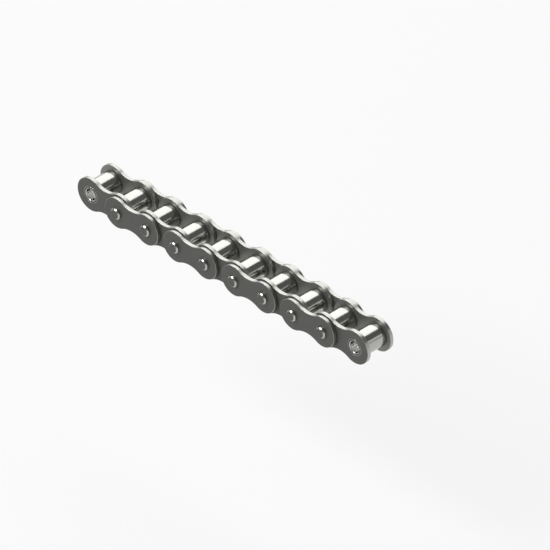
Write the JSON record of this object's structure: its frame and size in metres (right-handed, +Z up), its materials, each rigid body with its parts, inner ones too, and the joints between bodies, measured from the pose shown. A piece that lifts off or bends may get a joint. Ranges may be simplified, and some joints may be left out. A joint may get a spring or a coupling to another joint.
{
  "type": "roller chain",
  "caption": "Straight length of roller chain for conveyors and drives: waisted steel side plates, pins, bushes and free rollers, an open bush at each end.",
  "frame": {"origin": "centre of the first end bush's bore, on the pitch line and midway between the side plates", "axes": "+X along the straight chain from the first bush to the last, +Y across it along the pins and bushes, +Z up"},
  "size_m": [0.1887, 0.0232, 0.0172],
  "materials": {
    "plate_steel": "polished flat faces, burnished edges",
    "pin_steel": "ground and polished",
    "bush_steel": "ground",
    "roller_steel": "polished, bright"
  },
  "bodies": {
    "inner_link_1": {"inner_plate_1_front": "plate_steel", "inner_plate_1_back": "plate_steel", "bush_1": "bush_steel", "bush_2": "bush_steel"},
    "inner_link_2": {"inner_plate_2_front": "plate_steel", "inner_plate_2_back": "plate_steel", "bush_3": "bush_steel", "bush_4": "bush_steel"},
    "inner_link_3": {"inner_plate_3_front": "plate_steel", "inner_plate_3_back": "plate_steel", "bush_5": "bush_steel", "bush_6": "bush_steel"},
    "inner_link_4": {"inner_plate_4_front": "plate_steel", "inner_plate_4_back": "plate_steel", "bush_7": "bush_steel", "bush_8": "bush_steel"},
    "inner_link_5": {"inner_plate_5_front": "plate_steel", "inner_plate_5_back": "plate_steel", "bush_9": "bush_steel", "bush_10": "bush_steel"},
    "outer_link_1": {"outer_plate_1_front": "plate_steel", "outer_plate_1_back": "plate_steel", "pin_2": "pin_steel", "pin_3": "pin_steel"},
    "outer_link_2": {"outer_plate_2_front": "plate_steel", "outer_plate_2_back": "plate_steel", "pin_4": "pin_steel", "pin_5": "pin_steel"},
    "outer_link_3": {"outer_plate_3_front": "plate_steel", "outer_plate_3_back": "plate_steel", "pin_6": "pin_steel", "pin_7": "pin_steel"},
    "outer_link_4": {"outer_plate_4_front": "plate_steel", "outer_plate_4_back": "plate_steel", "pin_8": "pin_steel", "pin_9": "pin_steel"},
    "roller_1": {"roller_1": "roller_steel"},
    "roller_2": {"roller_2": "roller_steel"},
    "roller_3": {"roller_3": "roller_steel"},
    "roller_4": {"roller_4": "roller_steel"},
    "roller_5": {"roller_5": "roller_steel"},
    "roller_6": {"roller_6": "roller_steel"},
    "roller_7": {"roller_7": "roller_steel"},
    "roller_8": {"roller_8": "roller_steel"},
    "roller_9": {"roller_9": "roller_steel"},
    "roller_10": {"roller_10": "roller_steel"}
  },
  "joints": [
    {"name": "pin_hinge_5", "type": "hinge", "parent": "inner_link_3", "child": "outer_link_2", "pos_m": [0.0762, 0, 0], "axis": [0, 1, 0], "range_deg": [-120, 120]},
    {"name": "pin_hinge_4", "type": "hinge", "parent": "outer_link_2", "child": "inner_link_2", "pos_m": [0.05715, 0, 0], "axis": [0, -1, 0], "range_deg": [-120, 120]},
    {"name": "pin_hinge_3", "type": "hinge", "parent": "inner_link_2", "child": "outer_link_1", "pos_m": [0.0381, 0, 0], "axis": [0, 1, 0], "range_deg": [-120, 120]},
    {"name": "pin_hinge_2", "type": "hinge", "parent": "outer_link_1", "child": "inner_link_1", "pos_m": [0.01905, 0, 0], "axis": [0, -1, 0], "range_deg": [-120, 120]},
    {"name": "pin_hinge_6", "type": "hinge", "parent": "inner_link_3", "child": "outer_link_3", "pos_m": [0.09525, 0, 0], "axis": [0, 1, 0], "range_deg": [-120, 120]},
    {"name": "pin_hinge_7", "type": "hinge", "parent": "outer_link_3", "child": "inner_link_4", "pos_m": [0.1143, 0, 0], "axis": [0, -1, 0], "range_deg": [-120, 120]},
    {"name": "pin_hinge_8", "type": "hinge", "parent": "inner_link_4", "child": "outer_link_4", "pos_m": [0.13335, 0, 0], "axis": [0, 1, 0], "range_deg": [-120, 120]},
    {"name": "pin_hinge_9", "type": "hinge", "parent": "outer_link_4", "child": "inner_link_5", "pos_m": [0.1524, 0, 0], "axis": [0, -1, 0], "range_deg": [-120, 120]},
    {"name": "roller_spin_1", "type": "hinge", "parent": "inner_link_1", "child": "roller_1", "pos_m": [0, 0, 0], "axis": [0, 1, 0], "continuous": true},
    {"name": "roller_spin_2", "type": "hinge", "parent": "inner_link_1", "child": "roller_2", "pos_m": [0.01905, 0, 0], "axis": [0, 1, 0], "continuous": true},
    {"name": "roller_spin_3", "type": "hinge", "parent": "inner_link_2", "child": "roller_3", "pos_m": [0.0381, 0, 0], "axis": [0, 1, 0], "continuous": true},
    {"name": "roller_spin_4", "type": "hinge", "parent": "inner_link_2", "child": "roller_4", "pos_m": [0.05715, 0, 0], "axis": [0, 1, 0], "continuous": true},
    {"name": "roller_spin_5", "type": "hinge", "parent": "inner_link_3", "child": "roller_5", "pos_m": [0.0762, 0, 0], "axis": [0, 1, 0], "continuous": true},
    {"name": "roller_spin_6", "type": "hinge", "parent": "inner_link_3", "child": "roller_6", "pos_m": [0.09525, 0, 0], "axis": [0, 1, 0], "continuous": true},
    {"name": "roller_spin_7", "type": "hinge", "parent": "inner_link_4", "child": "roller_7", "pos_m": [0.1143, 0, 0], "axis": [0, 1, 0], "continuous": true},
    {"name": "roller_spin_8", "type": "hinge", "parent": "inner_link_4", "child": "roller_8", "pos_m": [0.13335, 0, 0], "axis": [0, 1, 0], "continuous": true},
    {"name": "roller_spin_9", "type": "hinge", "parent": "inner_link_5", "child": "roller_9", "pos_m": [0.1524, 0, 0], "axis": [0, 1, 0], "continuous": true},
    {"name": "roller_spin_10", "type": "hinge", "parent": "inner_link_5", "child": "roller_10", "pos_m": [0.17145, 0, 0], "axis": [0, 1, 0], "continuous": true}
  ]
}
